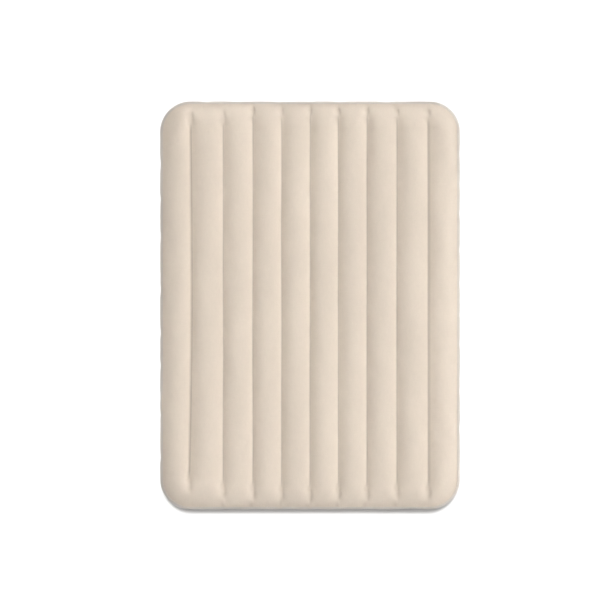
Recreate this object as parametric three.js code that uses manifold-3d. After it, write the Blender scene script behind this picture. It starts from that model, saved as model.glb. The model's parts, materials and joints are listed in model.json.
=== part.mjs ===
// Inflated air mattress, queen size, lying flat. Millimetres, +Z up, head end at +Y.
// Origin: on the floor, under the middle of the mattress.
//
// Three vinyl sheets make the air chamber: a flocked top sheet whose skirt turns down over the
// shoulder, a side wall band, and a bottom sheet whose rim turns up. The band's two edges lie
// inside the skirt and the rim, where they are welded. Nine fibre beams tie the top sheet to the
// bottom sheet, each a curtain of threads between two weld strips, and draw the ten channels.
// A two-stage screw valve sits in a dish in the foot wall, near the right corner.
import * as THREE from 'three';
import { mergeVertices } from 'three/addons/utils/BufferGeometryUtils.js';
import Module from 'manifold-3d';

const wasm = await Module();
wasm.setup();

// Overall size
const LENGTH = 2030;
const WIDTH = 1492;
const HEIGHT = 250;
const CORNER_R = 150;                     // outline corner, and how far in the shoulders reach
const TOUCH_GAP = 0.3;                    // kept between pieces that touch

// Shoulders: superellipse exponents above and below the widest line, which is at mid height
const MID_Z = HEIGHT / 2;
const TOP_POWER = 2.4;
const BOTTOM_POWER = 3;
const TOP_RING_Z = [246, 236, 221, 206, 192, 176];
const BOTTOM_RING_Z = [2, 7, 14, 23, 34, 50];
const RINGS = TOP_RING_Z.length;

// Sheets
const TOP_SHEET = 1.2;                    // vinyl with its flock pile
const BOTTOM_SHEET = 0.4;
const WALL_SHEET = 0.4;
const LAP_INSET = 1.9;                    // the band's edges, inside the skirt and the rim
const WALL_ROWS = 9;                      // between the two seams

// Beams: their distance from the middle grows slightly faster than their number
const BEAMS_EACH_SIDE = 4;
const BEAM_PITCH = 139.6;
const BEAM_SPREAD = 0.383;
const TOP_GROOVE_Z = 226;
const BOTTOM_GROOVE_Z = 14;
const FLOOR_STRIP = 60;                   // flat width on which each channel rests
const BEAM_HEAD_Y = 930;
const BEAM_FOOT_Y = -905;
const BEAM_END_DIP = 30;
const CURTAIN = 0.3;
const WELD_STRIP_W = 24;
const WELD_STRIP = 0.4;

// Valve: place on the foot wall, and radii and depths, where depth 0 is the widest line of the
// wall and outward is positive
const VALVE_X = 500;
const VALVE_Z = 113;
const DISH_DEPTH = 11.5;
const DISH_FLAT_R = 46;
const DISH_RIM_R = 62;
const DISH_STEP = 11.5;                   // between the wall's columns at the dish
const DISH_STEPS = 6;                     // on each side of the valve
const FLANGE_R = 42;
const FLANGE = 2;
const COLLAR_R = 28;
const COLLAR_BORE_R = 25.4;
const COLLAR_RIM = -8;
const COLLAR_END = -30;
const WALL_HOLE_R = COLLAR_R + 0.5;
const GASKET = 1.1;
const NECK_R = 29;
const HEAD_R = 33.5;
const HEAD_TOP = -3;
const HEAD_UNDER = -4.7;
const HEAD_PLATE = 2.4;
const SKIRT_R = 25;
const SKIRT_BORE_R = 22;
const SKIRT_END = -24;
const THROAT_R = 11;
const THROAT_TUBE_R = 12.9;
const THROAT_END = -21;
const LEASH = 1.3;                        // thickness of the leash's rings and strap
const LEASH_W = 8;
const LEASH_BEND_U = -38;
const LEASH_RING_W = 3.1;
const RING_SLACK = 0.4;
const FLAP_R = 12.4;
const FLAP = 1.2;
const HINGE_V = 14.6;
const HINGE_DEPTH = -22.4;
const PIN_R = 0.8;
const KNUCKLE_R = 1.7;
const FLAP_TAB_V = 9;
const LUG = 2;
const LUG_U = 3.6;
const LUG_HIGH_V = 16.6;
const LUG_ROOT = { low: 11.8, inner: -20.7, outer: -19 };      // lies on the throat's tube
const LUG_FINGER = { low: 12.6, inner: -24.2 };                // holds the pin, clear of the flap
const SCALLOPS = 12;
const SCALLOP_R = 4;
const SCALLOP_REACH = 2.6;
const CAP_R = 15;
const CAP_TOP = -0.6;
const CAP_PLUG_R = 10.6;
const CAP_TIP_R = 9.5;
const CAP_TIP = -9;
const CAP_HINGE_V = 18.8;
const CAP_HINGE_GAP = 0.6;
const PULL_TAB = 5;
const CAP_ROOT = 2;                       // how far the ear and the pull tab run into the cap
const STRAP_W = 8;
const STRAP_TOP = -1.5;
const STRAP_END_V = 28;
const STUD_V = 24.5;
const STUD_R = 1.8;

const ROUND = 36;                         // sides of a large round piece
const SMALL_ROUND = 16;
const CUTTER = 20;                        // length of a bar that cuts a pin hole

// Worked out
const FLAT_X = WIDTH / 2 - CORNER_R;
const FLAT_Y = LENGTH / 2 - CORNER_R;
const UPPER_SEAM_Z = TOP_RING_Z[RINGS - 1];
const LOWER_SEAM_Z = BOTTOM_RING_Z[RINGS - 1];
const BAND_MID_Z = (UPPER_SEAM_Z + LOWER_SEAM_Z) / 2;
const BAND_HALF = (UPPER_SEAM_Z - LOWER_SEAM_Z) / 2;
const FLANGE_FRONT = -DISH_DEPTH - WALL_SHEET - TOUCH_GAP;
const NECK_UNDER = COLLAR_RIM + TOUCH_GAP + GASKET + TOUCH_GAP;

const mattress = new THREE.Group();

function addPiece(name, geometry, colour, roughness, parent = mattress) {
  const material = new THREE.MeshStandardMaterial({ color: colour, roughness, metalness: 0 });
  const mesh = new THREE.Mesh(geometry, material);
  mesh.name = name;
  parent.add(mesh);
  return mesh;
}

// ---------------------------------------------------------------- solids

function signedVolume(positions, triangles) {
  const [a, b, c] = [new THREE.Vector3(), new THREE.Vector3(), new THREE.Vector3()];
  let volume = 0;
  for (let t = 0; t < triangles.length; t += 3) {
    a.fromArray(positions, 3 * triangles[t]);
    b.fromArray(positions, 3 * triangles[t + 1]);
    c.fromArray(positions, 3 * triangles[t + 2]);
    volume += a.dot(b.cross(c)) / 6;
  }
  return volume;
}

function indexedGeometry(positions, triangles) {
  if (signedVolume(positions, triangles) < 0) triangles.reverse();
  const geometry = new THREE.BufferGeometry();
  geometry.setAttribute('position', new THREE.Float32BufferAttribute(positions, 3));
  geometry.setIndex(triangles);
  return geometry;
}

// A closed shell between two grids of points, outer[row][column] and inner[row][column]. Each
// cell is split along its shorter diagonal. A looped grid's last column joins its first.
function shell(outer, inner, looped) {
  const rows = outer.length;
  const columns = outer[0].length;
  const positions = [...outer.flat(), ...inner.flat()].flatMap((p) => p.toArray());
  const triangles = [];
  const at = (side, row, column) => side * rows * columns + row * columns + (column % columns);
  const quad = (a, b, c, d) => triangles.push(a, b, c, a, c, d);
  const steps = looped ? columns : columns - 1;
  for (let r = 0; r < rows - 1; r++) {
    for (let c = 0; c < steps; c++) {
      const next = (c + 1) % columns;
      const rising = outer[r][c].distanceTo(outer[r + 1][next]);
      const falling = outer[r][next].distanceTo(outer[r + 1][c]);
      const corners = (side) => [
        at(side, r, c), at(side, r, c + 1), at(side, r + 1, c + 1), at(side, r + 1, c),
      ];
      const [a, b, d, e] = corners(0);
      const [ia, ib, id, ie] = corners(1);
      if (rising <= falling) {
        quad(a, b, d, e);
        quad(ia, ie, id, ib);
      } else {
        quad(b, d, e, a);
        quad(ib, ia, ie, id);
      }
    }
  }
  for (let c = 0; c < steps; c++) {
    quad(at(0, 0, c), at(1, 0, c), at(1, 0, c + 1), at(0, 0, c + 1));
    quad(at(0, rows - 1, c), at(0, rows - 1, c + 1), at(1, rows - 1, c + 1), at(1, rows - 1, c));
  }
  if (!looped) {
    const last = columns - 1;
    for (let r = 0; r < rows - 1; r++) {
      quad(at(0, r, 0), at(0, r + 1, 0), at(1, r + 1, 0), at(1, r, 0));
      quad(at(0, r, last), at(1, r, last), at(1, r + 1, last), at(0, r + 1, last));
    }
  }
  return indexedGeometry(positions, triangles);
}

// The same grid moved along its own normals by a distance. Each point's normal is the mean of
// the cells round it, and a cell's normal comes from its two diagonals.
function offsetGrid(grid, distance) {
  const cellNormal = (r, c) => {
    const rising = grid[r + 1][c + 1].clone().sub(grid[r][c]);
    const falling = grid[r + 1][c].clone().sub(grid[r][c + 1]);
    return rising.cross(falling).normalize();
  };
  const normalAt = (r, c) => {
    const sum = new THREE.Vector3();
    for (const [cellR, cellC] of [[r - 1, c - 1], [r - 1, c], [r, c - 1], [r, c]]) {
      const inside = cellR >= 0 && cellR < grid.length - 1 && cellC >= 0 && cellC < grid[0].length - 1;
      if (inside) sum.add(cellNormal(cellR, cellC));
    }
    return sum.normalize();
  };
  return grid.map((row, r) => row.map((p, c) => p.clone().addScaledVector(normalAt(r, c), distance)));
}

function toManifold(geometry) {
  const bare = geometry.clone();
  bare.deleteAttribute('normal');
  bare.deleteAttribute('uv');
  const merged = mergeVertices(bare, 1e-4);
  return new wasm.Manifold(new wasm.Mesh({
    numProp: 3,
    vertProperties: new Float32Array(merged.attributes.position.array),
    triVerts: new Uint32Array(merged.index.array),
  }));
}

function fromManifold(solid) {
  const mesh = solid.getMesh();
  const geometry = new THREE.BufferGeometry();
  geometry.setAttribute('position', new THREE.Float32BufferAttribute(mesh.vertProperties, 3));
  geometry.setIndex([...mesh.triVerts]);
  return geometry;
}

function join(first, ...others) {
  return fromManifold(others.reduce((solid, o) => solid.add(toManifold(o)), toManifold(first)));
}

function cut(first, ...others) {
  return fromManifold(others.reduce((solid, o) => solid.subtract(toManifold(o)), toManifold(first)));
}

// A round piece about the valve's axis, from [radius, depth] points taken anticlockwise.
function turned(points, sides = ROUND) {
  const profile = points.map(([radius, depth]) => new THREE.Vector2(radius, depth));
  if (points[0][0] > 0) profile.push(profile[0].clone());
  return new THREE.LatheGeometry(profile, sides).rotateX(Math.PI / 2);
}

function ring(innerR, outerR, low, high) {
  return turned([[innerR, low], [outerR, low], [outerR, high], [innerR, high]]);
}

// A box between two corners, in the valve's across, up and outward directions.
function block([u0, v0, w0], [u1, v1, w1]) {
  const box = new THREE.BoxGeometry(u1 - u0, v1 - v0, w1 - w0);
  return box.translate((u0 + u1) / 2, (v0 + v1) / 2, (w0 + w1) / 2);
}

// A round bar along the across direction, and one along the outward direction.
function crossBar(radius, length, v, w) {
  const bar = new THREE.CylinderGeometry(radius, radius, length, SMALL_ROUND);
  return bar.rotateZ(Math.PI / 2).translate(0, v, w);
}

function outwardBar(radius, low, high, u, v, sides = SMALL_ROUND) {
  const bar = new THREE.CylinderGeometry(radius, radius, high - low, sides);
  return bar.rotateX(Math.PI / 2).translate(u, v, (low + high) / 2);
}

// ---------------------------------------------------------------- the inflated outline

// How far the shoulder stands inside the widest line at a height.
function shoulderInset(z) {
  const power = z > MID_Z ? TOP_POWER : BOTTOM_POWER;
  const rise = Math.abs(z - MID_Z) / MID_Z;
  return CORNER_R * (1 - (1 - rise ** power) ** (1 / power));
}

function beamX(number) {
  return BEAM_PITCH * number + BEAM_SPREAD * number ** 3;
}

const BEAM_NUMBERS = [];
for (let n = -BEAMS_EACH_SIDE; n <= BEAMS_EACH_SIDE; n++) BEAM_NUMBERS.push(n);

// 1 at a beam's groove, 0 along the middle of each channel.
function grooveShare(x) {
  const across = Math.abs(x);
  const outermost = beamX(BEAMS_EACH_SIDE);
  if (across >= outermost) {
    const reach = (WIDTH / 2 - outermost) / 2;
    return Math.max(0, 1 - (across - outermost) / reach) ** 2;
  }
  let number = 0;
  while (beamX(number + 1) <= across) number += 1;
  const share = (across - beamX(number)) / (beamX(number + 1) - beamX(number));
  return (2 * share - 1) ** 2;
}

// Lines across or along a sheet: those on the flat, then one for each shoulder ring on both sides.
function gridLines(flatPlaces) {
  const lines = flatPlaces.map((place) => ({ place, ring: 0, sign: 0 }));
  for (let number = 1; number <= RINGS; number++) {
    lines.unshift({ place: flatPlaces[0], ring: number, sign: -1 });
    lines.push({ place: flatPlaces.at(-1), ring: number, sign: 1 });
  }
  return lines;
}

// The point where a column line crosses a row line. Over a corner, the larger ring number picks
// the ring, and the other one picks the place along its quarter circle.
function sheetPoint(column, row, ringZ, flatZ, grooveZ) {
  const number = Math.max(column.ring, row.ring);
  const reach = number ? CORNER_R - shoulderInset(ringZ[number - 1]) : 0;
  const baseZ = number ? ringZ[number - 1] : flatZ;
  const least = Math.min(column.ring, row.ring) / Math.max(number, 1);
  const angle = column.ring >= row.ring ? least * Math.PI / 4 : Math.PI / 2 - least * Math.PI / 4;
  const x = column.place + column.sign * reach * (row.ring ? Math.cos(angle) : 1);
  const y = row.place + row.sign * reach * (column.ring ? Math.sin(angle) : 1);
  const inside = (grooveZ - flatZ) * (grooveZ - baseZ) > 0;
  const z = inside ? baseZ + (grooveZ - baseZ) * grooveShare(x) : baseZ;
  return new THREE.Vector3(x, y, z);
}

function sheetGrid(columnPlaces, rowPlaces, ringZ, flatZ, grooveZ) {
  const columns = gridLines(columnPlaces);
  const rows = gridLines(rowPlaces);
  return rows.map((row) => columns.map((c) => sheetPoint(c, row, ringZ, flatZ, grooveZ)));
}

// ---------------------------------------------------------------- sheets

const ROW_PLACES = [-1, -0.5, 0, 0.5, 1].map((share) => share * FLAT_Y);

function topSheet() {
  const places = [-FLAT_X];
  for (const n of BEAM_NUMBERS) {
    places.push(beamX(n));
    if (n === BEAMS_EACH_SIDE) break;
    const between = (share) => THREE.MathUtils.lerp(beamX(n), beamX(n + 1), share);
    places.push(between(0.25), between(0.5), between(0.75));
  }
  places.push(FLAT_X);
  const outer = sheetGrid(places, ROW_PLACES, TOP_RING_Z, HEIGHT, TOP_GROOVE_Z);
  return shell(outer, offsetGrid(outer, -TOP_SHEET), false);
}

// The bottom sheet is the same, upside down, with a flat strip along each channel.
function bottomSheet() {
  const places = [-FLAT_X];
  for (const n of BEAM_NUMBERS) {
    places.push(beamX(n));
    if (n === BEAMS_EACH_SIDE) break;
    const middle = (beamX(n) + beamX(n + 1)) / 2;
    places.push(middle - FLOOR_STRIP / 2, middle + FLOOR_STRIP / 2);
  }
  places.push(FLAT_X);
  const outer = sheetGrid(places, ROW_PLACES, BOTTOM_RING_Z, 0, BOTTOM_GROOVE_Z);
  for (const point of outer.flat()) {
    const offGroove = !BEAM_NUMBERS.some((n) => Math.abs(point.x - beamX(n)) < 1);
    const overFloor = Math.abs(point.y) <= FLAT_Y && Math.abs(point.x) < beamX(BEAMS_EACH_SIDE);
    if (offGroove && overFloor) point.z = 0;
  }
  return shell(outer, offsetGrid(outer, BOTTOM_SHEET), false);
}

// The band's columns: round each corner, then along the foot wall with extra ones at the valve.
function bandColumns() {
  const corners = [[1, -1], [1, 1], [-1, 1], [-1, -1]];
  const columns = [];
  corners.forEach(([sx, sy], corner) => {
    for (let step = 0; step <= 2 * RINGS; step++) {
      const angle = (corner - 1 + step / (2 * RINGS)) * Math.PI / 2;
      const outward = new THREE.Vector2(Math.cos(angle), Math.sin(angle));
      columns.push({ x: sx * FLAT_X, y: sy * FLAT_Y, outward, foot: false });
    }
  });
  for (let step = -DISH_STEPS; step <= DISH_STEPS; step++) {
    const x = VALVE_X + step * DISH_STEP;
    columns.push({ x, y: -FLAT_Y, outward: new THREE.Vector2(0, -1), foot: true });
  }
  return columns;
}

// The band follows the shoulders, steps in under the skirt and the rim, and dishes in at the valve.
function bandInset(column, z) {
  const lap = Math.min(1, Math.abs(z - BAND_MID_Z) / BAND_HALF) ** 2;
  const inset = shoulderInset(z) + LAP_INSET * lap;
  if (!column.foot) return inset;
  const fromValve = Math.hypot(column.x - VALVE_X, z - VALVE_Z);
  const dish = 1 - THREE.MathUtils.smoothstep(fromValve, DISH_FLAT_R, DISH_RIM_R);
  return THREE.MathUtils.lerp(inset, DISH_DEPTH, dish);
}

function sideWall() {
  const heights = [BOTTOM_RING_Z[RINGS - 2]];
  for (let row = 0; row <= WALL_ROWS; row++) {
    heights.push(THREE.MathUtils.lerp(LOWER_SEAM_Z, UPPER_SEAM_Z, row / WALL_ROWS));
  }
  heights.push(TOP_RING_Z[RINGS - 2]);
  const gridAt = (depth) => heights.map((z) => bandColumns().map((column) => {
    const reach = CORNER_R - bandInset(column, z) - depth;
    const [x, y] = [column.x + column.outward.x * reach, column.y + column.outward.y * reach];
    return new THREE.Vector3(x, y, z);
  }));
  const band = shell(gridAt(0), gridAt(WALL_SHEET), true);
  const hole = new THREE.CylinderGeometry(WALL_HOLE_R, WALL_HOLE_R, 4 * DISH_DEPTH, ROUND);
  return cut(band, hole.translate(VALVE_X, -LENGTH / 2 + DISH_DEPTH, VALVE_Z));
}

addPiece('top_sheet', topSheet(), 0xdfd0bf, 0.95);
addPiece('side_wall', sideWall(), 0xcdbfae, 0.55);
addPiece('bottom_sheet', bottomSheet(), 0xb9ac9c, 0.6);

// ---------------------------------------------------------------- beams

// A curtain of threads between the two weld strips, with its two ends drawn in by the air.
function curtain(low, high) {
  const middle = (low + high) / 2;
  const outline = new THREE.Shape();
  outline.moveTo(BEAM_FOOT_Y, low);
  outline.lineTo(BEAM_HEAD_Y, low);
  outline.quadraticCurveTo(BEAM_HEAD_Y - 2 * BEAM_END_DIP, middle, BEAM_HEAD_Y, high);
  outline.lineTo(BEAM_FOOT_Y, high);
  outline.quadraticCurveTo(BEAM_FOOT_Y + 2 * BEAM_END_DIP, middle, BEAM_FOOT_Y, low);
  const sheet = new THREE.ExtrudeGeometry(outline, { depth: CURTAIN, bevelEnabled: false, curveSegments: 4 });
  const [alongY, alongZ, alongX] = [[0, 1, 0], [0, 0, 1], [1, 0, 0]].map((v) => new THREE.Vector3(...v));
  const turn = new THREE.Matrix4().makeBasis(alongY, alongZ, alongX);
  return sheet.translate(0, 0, -CURTAIN / 2).applyMatrix4(turn);
}

const UPPER_STRIP_TOP = TOP_GROOVE_Z - TOP_SHEET - TOUCH_GAP;
const LOWER_STRIP_UNDER = BOTTOM_GROOVE_Z + BOTTOM_SHEET + TOUCH_GAP;
const CURTAIN_HIGH = UPPER_STRIP_TOP - WELD_STRIP - TOUCH_GAP;
const CURTAIN_LOW = LOWER_STRIP_UNDER + WELD_STRIP + TOUCH_GAP;
const BEAM_LENGTH = BEAM_HEAD_Y - BEAM_FOOT_Y;

BEAM_NUMBERS.forEach((number, index) => {
  const beam = new THREE.Group();
  beam.position.x = beamX(number);
  mattress.add(beam);
  const label = index + 1;
  const strip = () => new THREE.BoxGeometry(WELD_STRIP_W, BEAM_LENGTH, WELD_STRIP);
  const middleY = (BEAM_HEAD_Y + BEAM_FOOT_Y) / 2;
  const upper = addPiece(`upper_weld_strip_${label}`, strip(), 0xd9d4cc, 0.6, beam);
  upper.position.set(0, middleY, UPPER_STRIP_TOP - WELD_STRIP / 2);
  const lower = addPiece(`lower_weld_strip_${label}`, strip(), 0xd9d4cc, 0.6, beam);
  lower.position.set(0, middleY, LOWER_STRIP_UNDER + WELD_STRIP / 2);
  addPiece(`beam_curtain_${label}`, curtain(CURTAIN_LOW, CURTAIN_HIGH), 0xeeeae2, 0.9, beam);
});

// ---------------------------------------------------------------- valve

const valve = new THREE.Group();
valve.position.set(VALVE_X, -LENGTH / 2, VALVE_Z);
valve.rotation.x = Math.PI / 2;
mattress.add(valve);

// Flange welded behind the wall, with the threaded collar through the wall's hole.
function valveBase() {
  const back = FLANGE_FRONT - FLANGE;
  return turned([
    [COLLAR_BORE_R, COLLAR_END], [COLLAR_R, COLLAR_END], [COLLAR_R, back], [FLANGE_R, back],
    [FLANGE_R, FLANGE_FRONT], [COLLAR_R, FLANGE_FRONT], [COLLAR_R, COLLAR_RIM], [COLLAR_BORE_R, COLLAR_RIM],
  ]);
}

function gasket() {
  const low = COLLAR_RIM + TOUCH_GAP;
  return ring(COLLAR_BORE_R + RING_SLACK, COLLAR_R - 0.2, low, low + GASKET);
}

// The screw-in plug: a scalloped head, a neck for the leash, a skirt that screws into the collar,
// the throat for the pump, two lugs for the flap's pin, and a stud for the cap's strap.
function screwPlug() {
  const plateUnder = HEAD_TOP - HEAD_PLATE;
  const plug = turned([
    [THROAT_R, THROAT_END], [THROAT_TUBE_R, THROAT_END], [THROAT_TUBE_R, plateUnder],
    [SKIRT_BORE_R, plateUnder], [SKIRT_BORE_R, SKIRT_END], [SKIRT_R, SKIRT_END], [SKIRT_R, NECK_UNDER],
    [NECK_R, NECK_UNDER], [NECK_R, HEAD_UNDER], [HEAD_R, HEAD_UNDER], [HEAD_R, HEAD_TOP],
    [THROAT_R, HEAD_TOP],
  ]);
  const lug = (u) => join(
    block([u, LUG_ROOT.low, LUG_ROOT.inner], [u + LUG, LUG_HIGH_V, LUG_ROOT.outer]),
    block([u, LUG_FINGER.low, LUG_FINGER.inner], [u + LUG, LUG_HIGH_V, LUG_ROOT.outer]),
  );
  const stud = outwardBar(STUD_R, HEAD_TOP - 1, CAP_TOP, 0, STUD_V);
  const solid = join(plug, lug(-LUG_U - LUG), lug(LUG_U), stud);
  const pinHole = crossBar(PIN_R + 0.05, CUTTER, HINGE_V, HINGE_DEPTH);
  const scallops = [];
  const reach = HEAD_R + SCALLOP_REACH;
  for (let step = 0; step < SCALLOPS; step++) {
    const angle = (step + 0.5) * 2 * Math.PI / SCALLOPS;
    const [u, v] = [Math.cos(angle) * reach, Math.sin(angle) * reach];
    scallops.push(outwardBar(SCALLOP_R, HEAD_UNDER - 0.1, HEAD_TOP + 1, u, v));
  }
  return cut(solid, pinHole, ...scallops);
}

// Soft disc that the air holds against the throat's inner end, hung from a knuckle on the pin.
function checkFlap() {
  const outer = THROAT_END - TOUCH_GAP;
  const inner = outer - FLAP;
  const disc = outwardBar(FLAP_R, inner, outer, 0, 0, 32);
  const halfTab = LUG_U - 0.4;
  const tab = block([-halfTab, FLAP_TAB_V, inner], [halfTab, HINGE_V, outer]);
  const knuckle = crossBar(KNUCKLE_R, 2 * halfTab, HINGE_V, HINGE_DEPTH);
  return cut(join(disc, tab, knuckle), crossBar(PIN_R + 0.1, CUTTER, HINGE_V, HINGE_DEPTH));
}

// Press-in cap with a tapered plug, an ear towards its strap and a pull tab below.
function cap() {
  const under = HEAD_TOP + TOUCH_GAP;
  const round = turned([
    [0, CAP_TIP], [CAP_TIP_R, CAP_TIP], [CAP_PLUG_R, under], [CAP_R, under], [CAP_R, CAP_TOP], [0, CAP_TOP],
  ]);
  const half = STRAP_W / 2;
  const ear = block([-half, CAP_R - CAP_ROOT, under], [half, CAP_HINGE_V - CAP_HINGE_GAP, STRAP_TOP]);
  const pull = block([-half, -CAP_R - PULL_TAB, under], [half, -CAP_R + CAP_ROOT, STRAP_TOP]);
  return join(round, ear, pull);
}

function capStrap() {
  const low = HEAD_TOP + TOUCH_GAP;
  const root = CAP_HINGE_V + CAP_HINGE_GAP;
  const strip = block([-STRAP_W / 2, root, low], [STRAP_W / 2, STRAP_END_V, STRAP_TOP]);
  return cut(strip, outwardBar(STUD_R + 0.3, low - 1, STRAP_TOP + 1, 0, STUD_V));
}

// The leash's folded strap joins the ring on the collar to the ring on the plug's neck.
const LEASH_LOW = -DISH_DEPTH + TOUCH_GAP;
const LEASH_HIGH = HEAD_UNDER - TOUCH_GAP;
const COLLAR_RING_R = COLLAR_R + RING_SLACK + LEASH_RING_W;
const NECK_RING_R = NECK_R + RING_SLACK + LEASH_RING_W;

function leashStrap() {
  const middle = (LEASH_LOW + LEASH_HIGH) / 2;
  const bend = (LEASH_HIGH - LEASH_LOW) / 2;
  const outline = new THREE.Shape();
  outline.moveTo(-COLLAR_RING_R - TOUCH_GAP, LEASH_LOW);
  outline.lineTo(LEASH_BEND_U, LEASH_LOW);
  outline.absarc(LEASH_BEND_U, middle, bend, -Math.PI / 2, -1.5 * Math.PI, true);
  outline.lineTo(-NECK_RING_R - TOUCH_GAP, LEASH_HIGH);
  outline.lineTo(-NECK_RING_R - TOUCH_GAP, LEASH_HIGH - LEASH);
  outline.lineTo(LEASH_BEND_U, LEASH_HIGH - LEASH);
  outline.absarc(LEASH_BEND_U, middle, bend - LEASH, Math.PI / 2, 1.5 * Math.PI, false);
  outline.lineTo(-COLLAR_RING_R - TOUCH_GAP, LEASH_LOW + LEASH);
  const strap = new THREE.ExtrudeGeometry(outline, { depth: LEASH_W, bevelEnabled: false, curveSegments: 8 });
  return strap.rotateX(Math.PI / 2).translate(0, LEASH_W / 2, 0);
}

addPiece('valve_base', valveBase(), 0xbdb6aa, 0.45, valve);
addPiece('valve_gasket', gasket(), 0x4a4744, 0.8, valve);
addPiece('leash_collar_ring', ring(COLLAR_R + RING_SLACK, COLLAR_RING_R, LEASH_LOW, LEASH_LOW + LEASH),
  0xa8a196, 0.6, valve);
addPiece('leash_neck_ring', ring(NECK_R + RING_SLACK, NECK_RING_R, LEASH_HIGH - LEASH, LEASH_HIGH),
  0xa8a196, 0.6, valve);
addPiece('leash_strap', leashStrap(), 0xa8a196, 0.6, valve);
addPiece('valve_plug', screwPlug(), 0xc9c3b8, 0.4, valve);
addPiece('check_flap', checkFlap(), 0x5b5853, 0.7, valve);
addPiece('flap_pin', crossBar(PIN_R, 2 * (LUG_U + LUG), HINGE_V, HINGE_DEPTH), 0xd8d4cc, 0.4, valve);
addPiece('valve_cap', cap(), 0xc9c3b8, 0.4, valve);
addPiece('cap_strap', capStrap(), 0xc9c3b8, 0.4, valve);

export default mattress;
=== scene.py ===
"""Looks of the inflated air mattress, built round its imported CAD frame.

Metres, +Z up, head end at +Y. The flocked top sheet and the side wall are inflated by cloth
simulation over their welds; the bottom sheet, the seams and the valve are built by code.
"""
import json
import math

import bmesh
import bpy
import numpy as np
from mathutils import Matrix, Vector, noise

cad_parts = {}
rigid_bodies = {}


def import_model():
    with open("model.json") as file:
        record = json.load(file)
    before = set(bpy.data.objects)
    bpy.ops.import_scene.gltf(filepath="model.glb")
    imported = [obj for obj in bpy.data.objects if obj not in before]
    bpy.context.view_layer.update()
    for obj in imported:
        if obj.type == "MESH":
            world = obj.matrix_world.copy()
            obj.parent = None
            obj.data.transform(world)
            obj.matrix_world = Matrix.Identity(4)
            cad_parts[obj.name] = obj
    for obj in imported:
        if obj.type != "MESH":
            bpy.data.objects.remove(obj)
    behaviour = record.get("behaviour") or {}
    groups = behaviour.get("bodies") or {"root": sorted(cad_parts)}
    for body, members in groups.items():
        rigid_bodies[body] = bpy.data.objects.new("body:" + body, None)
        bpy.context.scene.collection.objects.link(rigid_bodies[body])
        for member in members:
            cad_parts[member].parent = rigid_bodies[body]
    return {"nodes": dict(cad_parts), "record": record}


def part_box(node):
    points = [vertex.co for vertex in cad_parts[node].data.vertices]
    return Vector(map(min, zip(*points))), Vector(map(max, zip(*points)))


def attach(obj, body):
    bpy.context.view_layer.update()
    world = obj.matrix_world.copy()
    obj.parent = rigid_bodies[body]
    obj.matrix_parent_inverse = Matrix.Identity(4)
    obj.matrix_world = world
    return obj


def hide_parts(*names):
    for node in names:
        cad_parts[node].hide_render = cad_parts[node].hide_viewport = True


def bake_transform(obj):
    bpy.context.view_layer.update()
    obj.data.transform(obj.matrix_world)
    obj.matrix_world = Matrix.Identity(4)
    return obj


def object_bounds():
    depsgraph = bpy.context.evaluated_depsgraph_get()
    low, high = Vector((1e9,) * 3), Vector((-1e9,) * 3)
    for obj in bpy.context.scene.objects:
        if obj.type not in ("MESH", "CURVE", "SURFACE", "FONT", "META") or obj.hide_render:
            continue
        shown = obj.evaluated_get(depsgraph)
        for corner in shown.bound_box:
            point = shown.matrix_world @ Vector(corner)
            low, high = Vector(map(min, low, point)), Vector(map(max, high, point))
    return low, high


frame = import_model()
cad_box = [list(corner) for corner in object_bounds()]

MM = 0.001
LOW, HIGH = Vector(cad_box[0]), Vector(cad_box[1])
LENGTH = HIGH.y - LOW.y
WIDTH = HIGH.x - LOW.x
HEIGHT = HIGH.z - LOW.z

# ---------------------------------------------------------------- camera

PHOTO_SPAN = 2.961             # metres that the picture is wide at the top sheet
PHOTO_SHIFT = Vector((-0.050, 0.027))
LENS = 135
SENSOR = 36


def add_camera():
    camera = bpy.data.objects.new("camera", bpy.data.cameras.new("camera"))
    camera.data.lens = LENS
    camera.data.sensor_width = SENSOR
    camera.data.clip_end = 100
    distance = PHOTO_SPAN * LENS / SENSOR
    camera.location = (PHOTO_SHIFT.x, PHOTO_SHIFT.y, HEIGHT + distance)
    bpy.context.scene.collection.objects.link(camera)
    bpy.context.scene.camera = camera


add_camera()

# ---------------------------------------------------------------- the inflated outline

CORNER_R = 150 * MM
MID_Z = HEIGHT / 2
TOP_POWER = 2.4
BOTTOM_POWER = 3
UPPER_SEAM_Z = 176 * MM
LOWER_SEAM_Z = 50 * MM
LAP = 16 * MM                  # how far the wall's edges run inside the skirt and the rim
LAP_INSET = 0.6 * MM
HEM_REACH = CORNER_R - 6.5 * MM
SHOULDER_START = 0.06           # share of the reach that is still flat
FLAT_X = WIDTH / 2 - CORNER_R
FLAT_Y = LENGTH / 2 - CORNER_R

BEAM_COUNT = 9
BEAM_X = [sum(c.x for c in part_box(f"beam_curtain_{n + 1}")) / 2 for n in range(BEAM_COUNT)]
BEAM_FOOT_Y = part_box("beam_curtain_1")[0].y
BEAM_HEAD_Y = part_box("beam_curtain_1")[1].y
GROOVE_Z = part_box("upper_weld_strip_1")[1].z + 1.5 * MM
BOTTOM_GROOVE_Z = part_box("lower_weld_strip_1")[0].z - 0.7 * MM


def shoulder_inset(z):
    """How far the shoulder stands inside the widest line at a height."""
    power = TOP_POWER if z > MID_Z else BOTTOM_POWER
    rise = min(1.0, abs(z - MID_Z) / MID_Z)
    return CORNER_R * (1 - (1 - rise ** power) ** (1 / power))


def top_rings(count):
    """(reach past the flat, height) of each ring of the top sheet's shoulder, down to its hem."""
    rings = []
    for number in range(1, count + 1):
        share = number / count
        run = max(0.0, (share - SHOULDER_START) / (1 - SHOULDER_START))
        rings.append((HEM_REACH * share, HEIGHT - (HEIGHT - UPPER_SEAM_Z) * run ** 2))
    return rings


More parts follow.
